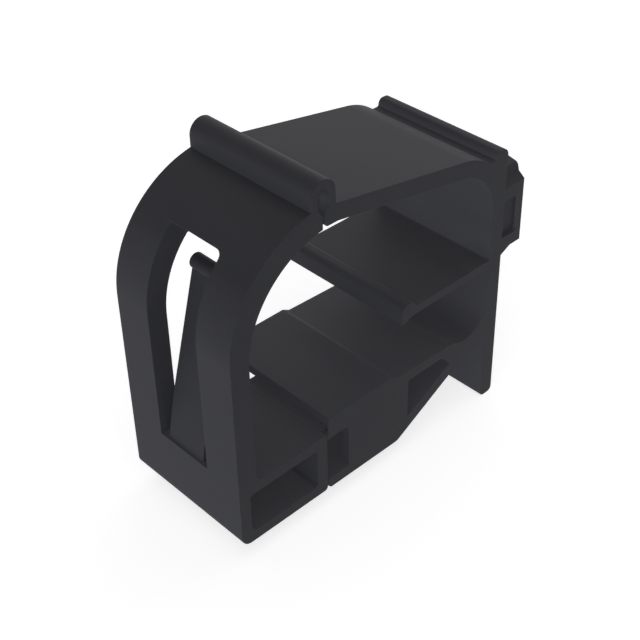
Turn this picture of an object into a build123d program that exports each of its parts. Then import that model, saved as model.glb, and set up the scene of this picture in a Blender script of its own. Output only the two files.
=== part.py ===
from build123d import *
import os
from math import acos, cos, degrees, radians, sin, sqrt, tan

# Harness clip with a living hinge: one moulding in nylon, drawn as the three
# stretches that move apart when it opens (fixed body, bending hinge, gate).
# Millimetres. Each outline is drawn as seen from the front: x runs to the right
# from the gate's outer face, z runs up from the underside of the block.

# Overall sizes
clip_width = 40.0
clip_depth = 17.7
wall = 2.0
flange_drop = 2.3

# Hinge: a thin loop on two legs, above the slit between the gate and the body
hinge_x = 12.38
hinge_wall = 0.88
hinge_slot = 1.48
hinge_leg = 1.30
gate_setback = 0.10
body_setback = 0.17
funnel_drop = 1.1
plate_toe = 1.75
plate_corner = 0.45

# Gate: a bent arm with a closed box at its foot
gate_wall = 2.35
gate_straight = 23.65
bend_radius = 13.06
bend_inner_radius = 11.35
bend_inner_drop = 0.92
box_height = 8.0
box_wall = 1.4
box_core_corner = 0.5
box_heel_radius = 1.3
box_toe_radius = 0.45
box_edge_radius = 0.45
arm_fillet = 0.5

# Window in the arm, and the sprung tongue that stands in it
window_width = 7.6
window_top_angle = 46.1
window_front_corner = 0.8
window_back_corner = 0.3
tongue_width = 5.6
tongue_thickness = 1.2
tongue_foot_inset = 0.3
tongue_bend_inset = 1.93
tongue_bend_rise = 7.34
tongue_lean = 15.2
tongue_length = 13.32
bead_radius = 0.87
bead_inset = 0.39

# Latch lug on the gate, and the mouth in the block that takes it
lug_front = 0.8
lug_length = 12.1
lug_reach = 2.9
lug_thickness = 1.4
lug_drop = 0.1
barb_height = 0.9
barb_length = 1.0
mouth_height = 9.0
mouth_skin = 0.55
mouth_land = 0.2

# Top plate and crown
plate_tilt = 9.95
crown_inner_radius = 6.65
lip_width = 2.1
lip_rise = 0.29
lip_inner_radius = 0.7
lip_outer_radius = 1.05
gutter_drop = 0.66
gutter_reach = 4.2
gutter_fillet = 0.2

# Wall and flange below it
flange_tip_radius = 0.66

# Shelf between the two cable channels, with a nose along its free edge
shelf_top = 18.0
shelf_thickness = 1.1
shelf_reach = 14.33
shelf_root_fillet = 0.35
nose_rise = 0.76
nose_hang = 0.56
nose_width = 1.5
nose_back_slope = 0.75
nose_under_slope = 1.7
nose_edge_radius = 0.7
nose_back_radius = 0.6

# Block under the lower channel
block_height = 10.07
floor_left_height = 9.53
floor_right_height = 9.17
ridge_end = 22.05
ridge_ramp = 1.0
valley_radius = 3.7
valley_drop = 0.59
block_chamfer = 0.4
underside_end = 23.25
slant_rise = 8.04
underside_blend = 1.2

# Cores in the block
block_floor = 1.43
core_front_wall = 1.22
latch_core_end = 22.3
front_window_width = 3.15
front_window_top = 7.22
front_window_corner = 0.6
catch_wall = 0.9
catch_ceiling = 9.3
hole_left = 24.9
hole_roof = 1.17
hole_top_gap = 7.5
hole_side_gap = 6.0
hole_under_wall = 1.56
hole_corner = 0.45
hole_small_corner = 0.25

# Mounting foot on the outside of the wall
foot_reach = 3.25
foot_low = 18.46
foot_high = 28.52
foot_lead_low = 26.6
foot_lead_high = 27.27
foot_lead_depth = 0.84
foot_step_depth = 1.03
foot_step_high = 28.0
foot_shoulder_depth = 1.3
foot_shoulder_high = 28.28
foot_crown_depth = 2.5
foot_gusset_low = 17.7
foot_gusset_high = 18.42
foot_gusset_reach = 1.48
pocket_skin = 0.62
pocket_low = 20.0
pocket_high = 24.85
pocket_corner = 0.7
pocket_depth = 0.55

# How near two lengths are when they count as one
same_length = 0.001

# The part's own frame: centred across its width and depth, standing on the flange's tip
left_x = -(clip_width + foot_reach) / 2
front_y = -clip_depth / 2
front = Plane(origin=(left_x, front_y, flange_drop), x_dir=(1, 0, 0), z_dir=(0, -1, 0))
side = Plane(origin=(left_x, front_y, flange_drop), x_dir=(0, 1, 0), z_dir=(1, 0, 0))
plan = Plane(origin=(left_x, front_y, flange_drop), x_dir=(1, 0, 0), z_dir=(0, 0, 1))

# Heights and places that follow from the sizes above
hinge_half = hinge_slot / 2 + hinge_wall
gate_end = hinge_x - gate_setback
body_end = hinge_x + body_setback
block_end = hinge_x
bend_sweep = degrees(acos((bend_radius - hinge_x + hinge_half) / bend_radius))
hinge_foot = gate_straight + bend_radius * sin(radians(bend_sweep))
slit_top = hinge_foot - funnel_drop
inner_bend_x = gate_wall + bend_inner_radius
inner_bend_z = gate_straight - bend_inner_drop
arm_tip_low = inner_bend_z + sqrt(bend_inner_radius**2 - (inner_bend_x - gate_end) ** 2)
plate_slope = tan(radians(plate_tilt))
plate_drop = wall / cos(radians(plate_tilt))
wall_inner = clip_width - wall
valley_x = wall_inner - valley_radius
valley_low = floor_right_height - valley_drop
valley_z = valley_low + valley_radius
hole_top = floor_right_height - hole_roof
slant_slope = slant_rise / (wall_inner - underside_end)
mid_depth = clip_depth / 2


def plate_top(x):
    """Height of the plate's upper face at x."""
    return hinge_foot - (x - hinge_x) * plate_slope


def plate_low(x):
    """Height of the plate's lower face at x."""
    return plate_top(x) - plate_drop


def underside(x):
    """Height of the block's slanted underside at x."""
    return (x - underside_end) * slant_slope


def nearest(shape, x, z):
    """The sketch's corner closest to a point of the front view."""
    return shape.vertices().sort_by_distance((x, z, 0))[0]


def radial_edges(cutter):
    """The window cutter's radial edges, from the front to the back."""
    edges = cutter.edges().filter_by(lambda e: abs(e.length - cutter_reach) < same_length)
    return edges.sort_by(Axis.Y)


# Window cutter: a prism whose top face is radial to the arm's bend
bend_centre = (bend_radius, gate_straight)
cutter_reach = bend_radius + wall
cutter_top = (
    bend_radius - cutter_reach * cos(radians(window_top_angle)),
    gate_straight + cutter_reach * sin(radians(window_top_angle)),
)
window_front = mid_depth - window_width / 2
with BuildPart() as window_cutter:
    with BuildSketch(front.offset(-window_front)):
        with BuildLine():
            Polyline(
                (-wall, box_height),
                (gate_end - box_wall, box_height),
                bend_centre,
                cutter_top,
                (-wall, cutter_top[1]),
                close=True,
            )
        make_face()
    extrude(amount=-window_width)
    fillet(radial_edges(window_cutter)[-1], radius=window_back_corner)
    fillet(radial_edges(window_cutter)[0], radius=window_front_corner)

# Gate: arm and box
with BuildPart() as gate:
    with BuildSketch(front) as gate_profile:
        with BuildLine():
            outer_bend = CenterArc(bend_centre, bend_radius, 180, -bend_sweep)
            inner_bend = ThreePointArc(
                (gate_wall, inner_bend_z),
                (
                    inner_bend_x - bend_inner_radius * cos(radians(bend_sweep / 2)),
                    inner_bend_z + bend_inner_radius * sin(radians(bend_sweep / 2)),
                ),
                (gate_end, arm_tip_low),
            )
            Polyline(
                inner_bend @ 1,
                (gate_end, slit_top),
                (hinge_x - hinge_slot / 2, hinge_foot),
                outer_bend @ 1,
            )
            Polyline(
                outer_bend @ 0,
                (0, 0),
                (gate_end, 0),
                (gate_end, box_height),
                (gate_wall, box_height),
                inner_bend @ 0,
            )
        make_face()
        fillet(nearest(gate_profile, 0, 0), radius=box_heel_radius)
        fillet(nearest(gate_profile, gate_end, 0), radius=box_toe_radius)
        fillet(nearest(gate_profile, gate_end, box_height), radius=box_edge_radius)
        fillet(nearest(gate_profile, gate_wall, box_height), radius=arm_fillet)
        with Locations((gate_end / 2, box_height / 2)):
            RectangleRounded(
                gate_end - 2 * box_wall,
                box_height - 2 * box_wall,
                box_core_corner,
                mode=Mode.SUBTRACT,
            )
    extrude(amount=-clip_depth)
    add(window_cutter.part, mode=Mode.SUBTRACT)

    # Sprung tongue: a slightly bent blade with a bead along its tip
    lean_cos = cos(radians(tongue_lean))
    lean_sin = sin(radians(tongue_lean))
    tongue_bend = (tongue_bend_inset, box_height + tongue_bend_rise)
    tongue_tip = (
        tongue_bend[0] + tongue_length * lean_sin,
        tongue_bend[1] + tongue_length * lean_cos,
    )
    tongue_front = mid_depth - tongue_width / 2
    with BuildSketch(front.offset(-tongue_front)):
        with BuildLine():
            outer_face = Line(tongue_tip, tongue_bend)
            outer_root = TangentArc(
                tongue_bend, (tongue_foot_inset, box_height), tangent=outer_face % 1
            )
            tip_turn = Line(
                tongue_tip,
                (
                    tongue_tip[0] + tongue_thickness * lean_cos,
                    tongue_tip[1] - tongue_thickness * lean_sin,
                ),
            )
            inner_face = PolarLine(tip_turn @ 1, tongue_length, -90 - tongue_lean)
            inner_root = TangentArc(
                inner_face @ 1,
                (tongue_foot_inset + tongue_thickness / lean_cos, box_height),
                tangent=inner_face % 1,
            )
            Polyline(
                outer_root @ 1,
                (tongue_foot_inset, box_height - box_wall / 2),
                (tongue_foot_inset + tongue_thickness / lean_cos, box_height - box_wall / 2),
                inner_root @ 1,
            )
        make_face()
        with Locations(
            (tongue_tip[0] + bead_inset * lean_cos, tongue_tip[1] - bead_inset * lean_sin)
        ):
            Circle(bead_radius)
    extrude(amount=-tongue_width)

    # Latch lug: a ledge with a barb along its end
    lug_top = box_height - lug_drop
    lug_low = lug_top - lug_thickness
    lug_end = gate_end + lug_reach
    with BuildSketch(front.offset(-lug_front)):
        with BuildLine():
            Polyline(
                (gate_end - box_wall / 2, lug_low),
                (lug_end - barb_length / 2, lug_low),
                (lug_end, lug_low + lug_thickness / 2),
                (lug_end - barb_length, lug_top + barb_height),
                (lug_end - barb_length, lug_top),
                (gate_end - box_wall / 2, lug_top),
                close=True,
            )
        make_face()
    extrude(amount=-lug_length)
gate.part.label = "gate"

# Living hinge: thin loop on its two legs
hinge_crown = hinge_foot + hinge_leg
with BuildPart() as hinge_loop:
    with BuildSketch(front):
        with BuildLine():
            loop_outside = CenterArc((hinge_x, hinge_crown), hinge_half, 0, 180)
            loop_inside = CenterArc((hinge_x, hinge_crown), hinge_slot / 2, 0, 180)
            Polyline(
                loop_outside @ 0,
                (hinge_x + hinge_half, hinge_foot),
                (hinge_x + hinge_slot / 2, hinge_foot),
                loop_inside @ 0,
            )
            Polyline(
                loop_outside @ 1,
                (hinge_x - hinge_half, hinge_foot),
                (hinge_x - hinge_slot / 2, hinge_foot),
                loop_inside @ 1,
            )
        make_face()
    extrude(amount=-clip_depth)
hinge_loop.part.label = "hinge_loop"

# Fixed body
with BuildPart() as clip_body:
    # Plate, crown, wall and flange in one bent strip
    outer_corner = (clip_width, plate_top(clip_width))
    inner_corner = (wall_inner, plate_low(wall_inner))
    plate_foot = hinge_x + hinge_half
    toe_low = plate_low(body_end + plate_toe)
    with BuildSketch(front) as strip:
        with BuildLine():
            Polyline(
                (hinge_x + hinge_slot / 2, hinge_foot),
                (plate_foot, hinge_foot),
                (plate_foot, plate_top(plate_foot)),
                outer_corner,
                (clip_width, -flange_drop),
                (wall_inner, -flange_drop),
                inner_corner,
                (body_end + plate_toe, toe_low),
                (body_end, toe_low),
                (body_end, slit_top),
                close=True,
            )
        make_face()
        fillet(nearest(strip, *outer_corner), radius=crown_inner_radius + wall)
        fillet(nearest(strip, *inner_corner), radius=crown_inner_radius)
        fillet(nearest(strip, body_end, toe_low), radius=plate_corner)
        fillet(nearest(strip, clip_width, -flange_drop), radius=flange_tip_radius)
        fillet(nearest(strip, wall_inner, -flange_drop), radius=flange_tip_radius)
    extrude(amount=-clip_depth)

    # Lip over the crown's corner, with a narrow gutter between them
    lip_x = clip_width - lip_width
    lip_top = plate_top(clip_width) + lip_rise
    gutter = plate_top(clip_width) - gutter_drop
    crown_end = plate_top(clip_width) - crown_inner_radius - wall
    with BuildSketch(front) as lip:
        with BuildLine():
            Polyline(
                (clip_width - gutter_reach, gutter),
                (lip_x, gutter),
                (lip_x, lip_top),
                (clip_width, lip_top),
                (clip_width, crown_end),
                (wall_inner, gutter - wall),
                close=True,
            )
        make_face()
        fillet(nearest(lip, lip_x, gutter), radius=gutter_fillet)
        fillet(nearest(lip, lip_x, lip_top), radius=lip_inner_radius)
        fillet(nearest(lip, clip_width, lip_top), radius=lip_outer_radius)
    extrude(amount=-clip_depth)

    # Shelf, and the nose along its free edge
    shelf_low = shelf_top - shelf_thickness
    nose_x = wall_inner - shelf_reach
    nose_top = shelf_top + nose_rise
    root_x = wall_inner + wall / 2
    with BuildSketch(front) as shelf:
        with BuildLine():
            Polyline(
                (root_x, shelf_low - wall / 2),
                (wall_inner, shelf_low - wall / 2),
                (wall_inner, shelf_low),
                (nose_x + nose_under_slope, shelf_low),
                (nose_x, shelf_low - nose_hang),
                (nose_x, nose_top),
                (nose_x + nose_width, nose_top),
                (nose_x + nose_width + nose_back_slope, shelf_top),
                (wall_inner, shelf_top),
                (wall_inner, shelf_top + wall / 2),
                (root_x, shelf_top + wall / 2),
                close=True,
            )
        make_face()
        fillet(nearest(shelf, wall_inner, shelf_low), radius=shelf_root_fillet)
        fillet(nearest(shelf, wall_inner, shelf_top), radius=shelf_root_fillet)
        fillet(nearest(shelf, nose_x, nose_top), radius=nose_edge_radius)
        fillet(nearest(shelf, nose_x + nose_width, nose_top), radius=nose_back_radius)
    extrude(amount=-clip_depth)

    # Block: stepped floor, hollow valley against the wall, slanted underside
    valley_edge = (
        valley_x - sqrt(valley_radius**2 - (valley_z - floor_right_height) ** 2),
        floor_right_height,
    )
    with BuildSketch(front) as block:
        with BuildLine():
            valley = ThreePointArc(
                valley_edge, (valley_x, valley_low), (wall_inner, valley_z)
            )
            Polyline(
                valley @ 1,
                (wall_inner + wall / 2, valley_z),
                (wall_inner + wall / 2, underside(wall_inner)),
                (wall_inner, underside(wall_inner)),
                (underside_end, 0),
                (block_end + block_chamfer, 0),
                (block_end, block_chamfer),
                (block_end, box_height),
                (body_end, box_height),
                (body_end, block_height),
                (ridge_end, block_height),
                (ridge_end + ridge_ramp, floor_left_height),
                valley @ 0,
            )
        make_face()
        fillet(nearest(block, underside_end, 0), radius=underside_blend)
        # Through hole under the channel, its lower side parallel to the slant
        hole_floor = hole_under_wall * sqrt(1 + slant_slope**2)
        hole_right = wall_inner - hole_side_gap
        with BuildSketch(mode=Mode.PRIVATE) as through_hole:
            with BuildLine():
                Polyline(
                    (hole_left, underside(hole_left) + hole_floor),
                    (hole_right, underside(hole_right) + hole_floor),
                    (wall_inner - hole_top_gap, hole_top),
                    (hole_left, hole_top),
                    close=True,
                )
            make_face()
            fillet(nearest(through_hole, hole_left, hole_top), radius=hole_corner)
            fillet(nearest(through_hole, wall_inner - hole_top_gap, hole_top), radius=hole_small_corner)
            fillet(
                nearest(through_hole, hole_right, underside(hole_right) + hole_floor),
                radius=hole_small_corner,
            )
        add(through_hole.sketch, mode=Mode.SUBTRACT)
    extrude(amount=-clip_depth)

    # Latch core: open towards the gate and at the back, closed at the front
    with BuildSketch(front.offset(-core_front_wall)):
        with BuildLine():
            Polyline(
                (block_end - wall, block_floor),
                (latch_core_end, block_floor),
                (latch_core_end, hole_top),
                (latch_core_end - (catch_ceiling - hole_top), catch_ceiling),
                (body_end + catch_wall, catch_ceiling),
                (body_end + catch_wall, mouth_height),
                (block_end - wall, mouth_height),
                close=True,
            )
        make_face()
    extrude(amount=-clip_depth, mode=Mode.SUBTRACT)

    # Front window beside the seam, and the mouth over it that takes the lug
    with BuildSketch(front) as front_window:
        with BuildLine():
            Polyline(
                (block_end - wall, block_floor),
                (block_end + front_window_width, block_floor),
                (block_end + front_window_width, front_window_top),
                (block_end - wall, front_window_top),
                close=True,
            )
        make_face()
        fillet(
            nearest(front_window, block_end + front_window_width, front_window_top),
            radius=front_window_corner,
        )
    extrude(amount=-clip_depth / 2, mode=Mode.SUBTRACT)
    mouth_lead = mouth_skin - mouth_land
    with BuildSketch(plan.offset(block_floor)):
        with BuildLine():
            Polyline(
                (block_end - wall, mouth_land),
                (body_end, mouth_land),
                (body_end + mouth_lead, mouth_skin),
                (block_end + front_window_width, mouth_skin),
                (block_end + front_window_width, mid_depth),
                (block_end - wall, mid_depth),
                close=True,
            )
        make_face()
    extrude(amount=mouth_height - block_floor, mode=Mode.SUBTRACT)

    # Foot: a bar along the wall with a lead-in at both ends
    foot_root = wall / 2
    with BuildSketch(side.offset(clip_width - foot_root)):
        with BuildLine():
            lead = Polyline(
                (0, foot_gusset_low),
                (0, foot_lead_low),
                (foot_lead_depth, foot_lead_high),
                (foot_step_depth, foot_step_high),
                (foot_shoulder_depth, foot_shoulder_high),
                (foot_crown_depth, foot_high),
                (mid_depth, foot_high),
            )
            mirror(lead, about=Plane.YZ.offset(mid_depth))
            Line((0, foot_gusset_low), (clip_depth, foot_gusset_low))
        make_face()
    extrude(amount=foot_root + foot_reach)
    with BuildSketch(front):
        with BuildLine():
            Polyline(
                (clip_width, foot_gusset_low),
                (clip_width + foot_gusset_reach, foot_gusset_high),
                (clip_width + foot_reach, foot_low),
                (clip_width + foot_reach + wall, foot_low),
                (clip_width + foot_reach + wall, foot_gusset_low - wall),
                (clip_width, foot_gusset_low - wall),
                close=True,
            )
        make_face()
    extrude(amount=-clip_depth, mode=Mode.SUBTRACT)
    pocket_width = foot_reach - pocket_skin
    pocket_height = pocket_high - pocket_low
    for pocket_plane in (front, front.offset(pocket_depth - clip_depth)):
        with BuildSketch(pocket_plane) as pocket:
            with Locations((clip_width + pocket_width / 2, pocket_low + pocket_height / 2)):
                Rectangle(pocket_width, pocket_height)
            fillet(pocket.vertices().sort_by(Axis.X)[-2:], radius=pocket_corner)
        extrude(amount=-pocket_depth, mode=Mode.SUBTRACT)
clip_body.part.label = "clip_body"

os.makedirs("parts", exist_ok=True)
export_step(gate.part, "parts/gate.step")
export_step(hinge_loop.part, "parts/hinge_loop.step")
export_step(clip_body.part, "parts/clip_body.step")
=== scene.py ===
import math

import bmesh
import bpy
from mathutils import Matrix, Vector


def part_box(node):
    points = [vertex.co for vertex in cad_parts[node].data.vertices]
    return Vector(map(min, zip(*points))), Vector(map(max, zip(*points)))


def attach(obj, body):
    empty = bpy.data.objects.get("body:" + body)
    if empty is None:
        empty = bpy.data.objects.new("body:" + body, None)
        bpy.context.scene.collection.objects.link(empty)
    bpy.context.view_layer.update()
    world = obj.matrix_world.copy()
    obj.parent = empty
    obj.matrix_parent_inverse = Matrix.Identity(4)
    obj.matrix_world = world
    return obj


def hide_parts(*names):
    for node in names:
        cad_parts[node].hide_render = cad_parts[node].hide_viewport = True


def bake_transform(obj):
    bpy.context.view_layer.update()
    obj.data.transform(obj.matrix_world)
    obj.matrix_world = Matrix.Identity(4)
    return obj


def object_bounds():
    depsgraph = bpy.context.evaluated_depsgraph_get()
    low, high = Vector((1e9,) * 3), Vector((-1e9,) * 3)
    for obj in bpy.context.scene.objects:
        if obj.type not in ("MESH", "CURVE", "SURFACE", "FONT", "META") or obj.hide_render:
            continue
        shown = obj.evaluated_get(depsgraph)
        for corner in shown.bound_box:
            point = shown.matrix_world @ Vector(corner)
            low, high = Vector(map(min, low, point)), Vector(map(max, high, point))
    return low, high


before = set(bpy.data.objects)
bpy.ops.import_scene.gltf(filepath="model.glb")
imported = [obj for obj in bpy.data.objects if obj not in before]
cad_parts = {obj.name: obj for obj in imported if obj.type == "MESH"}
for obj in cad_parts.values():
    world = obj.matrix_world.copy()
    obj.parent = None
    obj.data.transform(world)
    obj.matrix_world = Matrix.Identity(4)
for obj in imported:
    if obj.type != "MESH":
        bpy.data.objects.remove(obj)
cad_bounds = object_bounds()

MM = 0.001
WHITE = (1, 1, 1, 1)

# Small radii that the mould leaves on the outer edges
EDGE_RADIUS = 0.035 * MM
EDGE_SEGMENTS = 2
# Two faces that turn by more than this meet in an edge, and by less they belong to one round
SHARP_ANGLE = math.radians(24)
# Triangles that turn by less than this belong to one flat face
FLAT_ANGLE = math.radians(0.4)
# Corners closer than this are one corner
WELD_DISTANCE = 0.0005 * MM
# An edge this close to the seam's height lies in the seam
SEAM_TOLERANCE = 0.005 * MM
# Where a radius has no room, its faces fold back by more than this angle. The shape is then made
# again, up to so many times, with the edges within reach of a fold left sharp
FOLD_ANGLE = math.radians(140)
FOLD_REACH = 0.2 * MM
EDGE_TRIES = 6
# Shading breaks at inner corners past the first angle, and at outer edges past the second, which is
# more than the turn between the strips of a radius on a square edge
CORNER_ANGLE = math.radians(35)
STRIP_ANGLE = math.radians(50)

# Black nylon: the tints and roughness of its flow marks, and its fine grain
NYLON_TINTS = ((0.0268, 0.0270, 0.0308, 1), (0.0308, 0.0310, 0.0350, 1))
TINT_POSITIONS = (0.35, 0.65)
NYLON_ROUGHNESS = (0.54, 0.64)
NYLON_SPECULAR = 0.08
FLOW_NOISE = {"Scale": 130.0, "Detail": 4.0, "Distortion": 0.6}
FLOW_STRETCH = (1.0, 0.35, 1.0)
GRAIN_NOISE = {"Scale": 5200.0, "Detail": 3.0, "Roughness": 0.6}
GRAIN_STRENGTH = 0.12
GRAIN_HEIGHT = 0.01 * MM

# Camera: the photograph's focal length, centre and place, in the part's frame
IMAGE_SIZE = 640
SENSOR_WIDTH = 36.0
FOCAL_PIXELS = 1277.9
CENTRE_PIXEL = (358.8, 274.49)
CAMERA_PLACE = Vector((-78.365, -82.63, 102.56)) * MM
CAMERA_AIM = Vector((1, 1, -1))
CAMERA_NEAR = 5 * MM

# Studio: soft surroundings, and a pale floor that the eye sees lifted to white
WORLD_LIGHT = 0.08
FLOOR_HALF = 1.5
FLOOR_GAP = 0.02 * MM
FLOOR_COLOUR = (0.86, 0.86, 0.86, 1)
FLOOR_LIFT = 0.50
# Name, direction from the part to the lamp, spread in degrees, colour, casts shadows, strength
LAMPS = (
    ("overhead_box", (0.1, 0.0, 1.0), 70, (1.0, 1.0, 1.0), True, 0.35),
    ("right_top_fill", (1.0, 0.3, 1.0), 60, (1.0, 1.0, 1.0), False, 1.2),
    ("table_bounce", (-0.2, -0.2, -1.0), 150, (1.0, 1.0, 1.0), False, 0.9),
    ("low_corner_fill", (-1.0, -0.6, -0.3), 60, (0.97, 0.99, 1.03), False, 2.5),
    ("back_fill", (0.4, 1.0, -0.4), 60, (1.0, 1.0, 1.0), False, 1.8),
    ("camera_side_fill", (-1.0, -0.9, 1.0), 70, (1.0, 1.0, 1.0), False, 0.75),
)
# The lamp in the upper channel
INNER_PLACE = Vector((3.0, 0.0, 29.0)) * MM
INNER_RADIUS = 3 * MM
INNER_STRENGTH = 21.0
# The lamp in the slot of the hinge: how far it stands behind the front and above the seam
SLOT_LAMP_DEPTH = 0.95 * MM
SLOT_LAMP_RISE = 0.194 * MM
SLOT_LAMP_RADIUS = 0.15 * MM
SLOT_LAMP_STRENGTH = 0.019


def add_object(name, data):
    """A new object in the scene for this mesh, lamp or camera."""
    added = bpy.data.objects.new(name, data)
    bpy.context.scene.collection.objects.link(added)
    return added


def add_node(tree, kind, values):
    """A new node with these values in its sockets."""
    added = tree.nodes.new(kind)
    for socket, value in values.items():
        added.inputs[socket].default_value = value
    return added


def new_material(name):
    """A new material, its node tree and the output's surface socket."""
    material = bpy.data.materials.new(name)
    material.use_nodes = True
    tree = material.node_tree
    tree.nodes.clear()
    output = tree.nodes.new("ShaderNodeOutputMaterial")
    return material, tree, output.inputs["Surface"]


def moulded_nylon():
    """Black nylon as it leaves a lightly eroded mould: fine grain, faint flow marks, satin sheen."""
    material, tree, surface = new_material("black_moulded_nylon")
    connect = tree.links.new
    place = tree.nodes.new("ShaderNodeTexCoord").outputs["Object"]

    grain = add_node(tree, "ShaderNodeTexNoise", GRAIN_NOISE)
    bump = add_node(tree, "ShaderNodeBump", {"Strength": GRAIN_STRENGTH, "Distance": GRAIN_HEIGHT})
    connect(place, grain.inputs["Vector"])
    connect(grain.outputs["Fac"], bump.inputs["Height"])

    stretch = add_node(tree, "ShaderNodeMapping", {"Scale": FLOW_STRETCH})
    flow = add_node(tree, "ShaderNodeTexNoise", FLOW_NOISE)
    connect(place, stretch.inputs["Vector"])
    connect(stretch.outputs["Vector"], flow.inputs["Vector"])

    tint = tree.nodes.new("ShaderNodeValToRGB")
    for stop, position, colour in zip(tint.color_ramp.elements, TINT_POSITIONS, NYLON_TINTS):
        stop.position = position
        stop.color = colour
    connect(flow.outputs["Fac"], tint.inputs["Fac"])

    smoothest, roughest = NYLON_ROUGHNESS
    sheen = add_node(tree, "ShaderNodeMapRange", {"To Min": smoothest, "To Max": roughest})
    connect(flow.outputs["Fac"], sheen.inputs["Value"])

    shader = add_node(tree, "ShaderNodeBsdfPrincipled", {"Specular IOR Level": NYLON_SPECULAR})
    connect(tint.outputs["Color"], shader.inputs["Base Color"])
    connect(sheen.outputs["Result"], shader.inputs["Roughness"])
    connect(bump.outputs["Normal"], shader.inputs["Normal"])
    connect(shader.outputs["BSDF"], surface)
    return material


def clean_shape(node):
    """A copy of a CAD node's mesh, welded and with its flat faces whole."""
    shape = bmesh.new()
    shape.from_mesh(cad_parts[node].data)
    bmesh.ops.remove_doubles(shape, verts=shape.verts, dist=WELD_DISTANCE)
    bmesh.ops.dissolve_limit(
        shape,
        angle_limit=FLAT_ANGLE,
        verts=shape.verts,
        edges=shape.edges,
        delimit={"NORMAL"},
    )
    return shape


def in_seam(edge, seam_height):
    """True for an edge in the level seam between the hinge's loop and what it stands on."""
    return all(abs(v.co.z - seam_height) < SEAM_TOLERANCE for v in edge.verts)


def near_any(edge, points):
    """True for an edge that passes close to one of these points."""
    start, end = edge.verts[0].co, edge.verts[1].co
    along = end - start
    for point in points:
        share = min(1.0, max(0.0, (point - start).dot(along) / along.length_squared))
        if (start + along * share - point).length < FOLD_REACH:
            return True
    return False


def round_edges(shape, seam_height, left_sharp):
    """Puts radii on the outer edges, except in the seam and near the points to be left sharp."""
    edges = [
        e
        for e in shape.edges
        if len(e.link_faces) == 2
        and e.is_convex
        and e.calc_face_angle(0) > SHARP_ANGLE
        and not in_seam(e, seam_height)
        and not near_any(e, left_sharp)
    ]
    bmesh.ops.bevel(
        shape,
        geom=edges,
        offset=EDGE_RADIUS,
        offset_type="OFFSET",
        segments=EDGE_SEGMENTS,
        profile=0.5,
        affect="EDGES",
        clamp_overlap=False,
        material=-1,
    )
    shape.normal_update()


def folded_places(shape):
    """The middles of the edges where a radius had no room and folded back."""
    return [
        (e.verts[0].co + e.verts[1].co) / 2
        for e in shape.edges
        if e.calc_face_angle(0) > FOLD_ANGLE
    ]


def edged_shape(node, seam_height):
    """A CAD node's shape with radii wherever they have room. A shape that folds somewhere is made
    again with the edges there left sharp."""
    left_sharp = []
    for _ in range(EDGE_TRIES):
        shape = clean_shape(node)
        round_edges(shape, seam_height, left_sharp)
        folds = folded_places(shape)
        if not folds:
            return shape
        left_sharp += folds
        shape.free()
    return clean_shape(node)


def edged_copy(node, name, seam_height):
    """A piece with the shape of a CAD node, small radii on its edges, and flat faces shaded flat."""
    shape = edged_shape(node, seam_height)
    for face in shape.faces:
        face.smooth = True
    for edge in shape.edges:
        limit = STRIP_ANGLE if edge.is_convex else CORNER_ANGLE
        edge.smooth = edge.calc_face_angle(0) < limit
    mesh = bpy.data.meshes.new(name)
    shape.to_mesh(mesh)
    shape.free()
    piece = add_object(name, mesh)
    weighting = piece.modifiers.new("flat_faces_keep_flat", "WEIGHTED_NORMAL")
    weighting.mode = "FACE_AREA"
    weighting.weight = 100
    weighting.keep_sharp = True
    return piece


def photo_camera():
    """The camera, where the photograph was taken from."""
    camera_data = bpy.data.cameras.new("camera")
    camera_data.sensor_width = SENSOR_WIDTH
    camera_data.lens = FOCAL_PIXELS / IMAGE_SIZE * SENSOR_WIDTH
    camera_data.shift_x = (IMAGE_SIZE / 2 - CENTRE_PIXEL[0]) / IMAGE_SIZE
    camera_data.shift_y = (CENTRE_PIXEL[1] - IMAGE_SIZE / 2) / IMAGE_SIZE
    camera_data.clip_start = CAMERA_NEAR
    camera = add_object("camera", camera_data)
    camera.location = CAMERA_PLACE
    camera.rotation_euler = CAMERA_AIM.to_track_quat("-Z", "Y").to_euler()
    bpy.context.scene.camera = camera


def seen_directly(tree):
    """A value of 1 for rays from the camera, from a reflection or through glass, and 0 for the rest."""
    path = tree.nodes.new("ShaderNodeLightPath")
    seen = path.outputs["Is Camera Ray"]
    for kind in ("Is Glossy Ray", "Is Transmission Ray"):
        either = tree.nodes.new("ShaderNodeMath")
        either.operation = "MAXIMUM"
        tree.links.new(seen, either.inputs[0])
        tree.links.new(path.outputs[kind], either.inputs[1])
        seen = either.outputs["Value"]
    return seen


def studio_world():
    """Soft surroundings that are plain white to the eye."""
    world = bpy.data.worlds.new("studio")
    world.use_nodes = True
    tree = world.node_tree
    tree.nodes.clear()
    soft = add_node(tree, "ShaderNodeBackground", {"Color": WHITE, "Strength": WORLD_LIGHT})
    white = add_node(tree, "ShaderNodeBackground", {"Color": WHITE, "Strength": 1.0})
    mix = tree.nodes.new("ShaderNodeMixShader")
    output = tree.nodes.new("ShaderNodeOutputWorld")
    tree.links.new(seen_directly(tree), mix.inputs["Fac"])
    tree.links.new(soft.outputs["Background"], mix.inputs[1])
    tree.links.new(white.outputs["Background"], mix.inputs[2])
    tree.links.new(mix.outputs["Shader"], output.inputs["Surface"])
    bpy.context.scene.world = world


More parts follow.
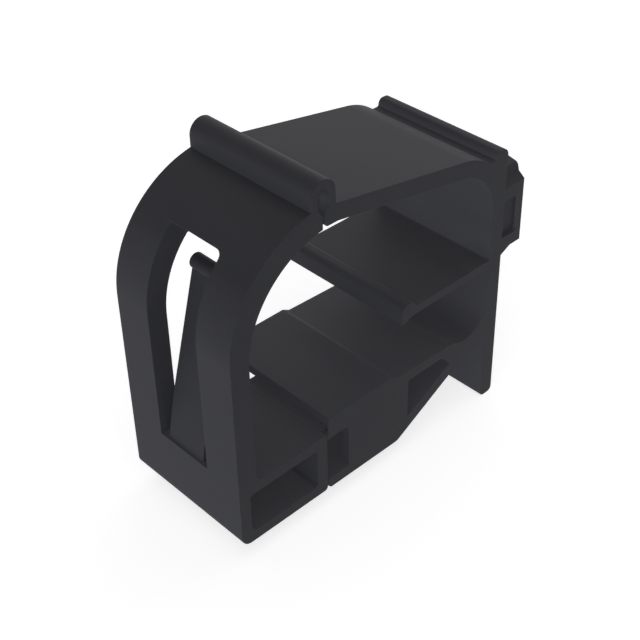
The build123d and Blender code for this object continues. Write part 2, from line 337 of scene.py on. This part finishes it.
def pale_floor():
    """A pale material that looks white where nothing shades it and keeps the part's shadow."""
    material, tree, surface = new_material("pale_floor")
    connect = tree.links.new
    lit = add_node(tree, "ShaderNodeBsdfDiffuse", {"Color": FLOOR_COLOUR})
    glow = add_node(tree, "ShaderNodeEmission", {"Color": WHITE})
    lift = tree.nodes.new("ShaderNodeMath")
    lift.operation = "MULTIPLY"
    lift.inputs[1].default_value = FLOOR_LIFT
    both = tree.nodes.new("ShaderNodeAddShader")
    connect(seen_directly(tree), lift.inputs[0])
    connect(lift.outputs["Value"], glow.inputs["Strength"])
    connect(lit.outputs["BSDF"], both.inputs[0])
    connect(glow.outputs["Emission"], both.inputs[1])
    connect(both.outputs["Shader"], surface)
    return material


def studio_floor(height):
    """A plain floor just under the part."""
    shape = bmesh.new()
    bmesh.ops.create_grid(shape, x_segments=1, y_segments=1, size=FLOOR_HALF)
    mesh = bpy.data.meshes.new("floor")
    shape.to_mesh(mesh)
    shape.free()
    mesh.materials.append(pale_floor())
    floor = add_object("floor", mesh)
    floor.location = (0, 0, height)


def studio_lamp(name, towards, spread, colour, casts_shadows, strength):
    """A distant soft lamp: towards points from the part to the lamp."""
    light = bpy.data.lights.new(name, "SUN")
    light.angle = math.radians(spread)
    light.color = colour
    light.energy = strength
    light.use_shadow = casts_shadows
    lamp = add_object(name, light)
    lamp.rotation_euler = Vector(towards).to_track_quat("Z", "Y").to_euler()


def fill_lamp(name, place, radius, casts_shadows, fading, strength, lit_pieces):
    """A small lamp among the part's own walls that lifts them, as a light tent does."""
    light = bpy.data.lights.new(name, "POINT")
    light.shadow_soft_size = radius
    light.energy = 1.0
    light.use_shadow = casts_shadows
    light.use_nodes = True
    tree = light.node_tree
    falloff = add_node(tree, "ShaderNodeLightFalloff", {"Strength": strength})
    tree.links.new(falloff.outputs[fading], tree.nodes["Emission"].inputs["Strength"])
    lamp = add_object(name, light)
    lamp.location = place
    lamp.visible_camera = False
    lamp.visible_glossy = False
    lamp.light_linking.receiver_collection = lit_pieces


nylon = moulded_nylon()
low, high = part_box("hinge_loop")
seam_height = low.z

body_piece = edged_copy("clip_body", "clip_body_moulding", seam_height)
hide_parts("clip_body")
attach(body_piece, "body")

gate_piece = edged_copy("gate", "gate_moulding", seam_height)
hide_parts("gate")
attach(gate_piece, "gate")

loop_piece = edged_copy("hinge_loop", "hinge_loop_moulding", seam_height)
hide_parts("hinge_loop")
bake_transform(loop_piece)

lit_by_fills = bpy.data.collections.new("lit_by_fills")
for piece in (body_piece, gate_piece, loop_piece):
    piece.data.materials.append(nylon)
    lit_by_fills.objects.link(piece)

photo_camera()
studio_world()
studio_floor(cad_bounds[0][2] - FLOOR_GAP)
for lamp in LAMPS:
    studio_lamp(*lamp)
fill_lamp("inner_fill", INNER_PLACE, INNER_RADIUS, False, "Constant", INNER_STRENGTH, lit_by_fills)
slot_place = ((low.x + high.x) / 2, low.y + SLOT_LAMP_DEPTH, seam_height + SLOT_LAMP_RISE)
fill_lamp("hinge_slot_fill", slot_place, SLOT_LAMP_RADIUS, True, "Linear", SLOT_LAMP_STRENGTH, lit_by_fills)

bpy.context.scene.view_settings.view_transform = "Standard"
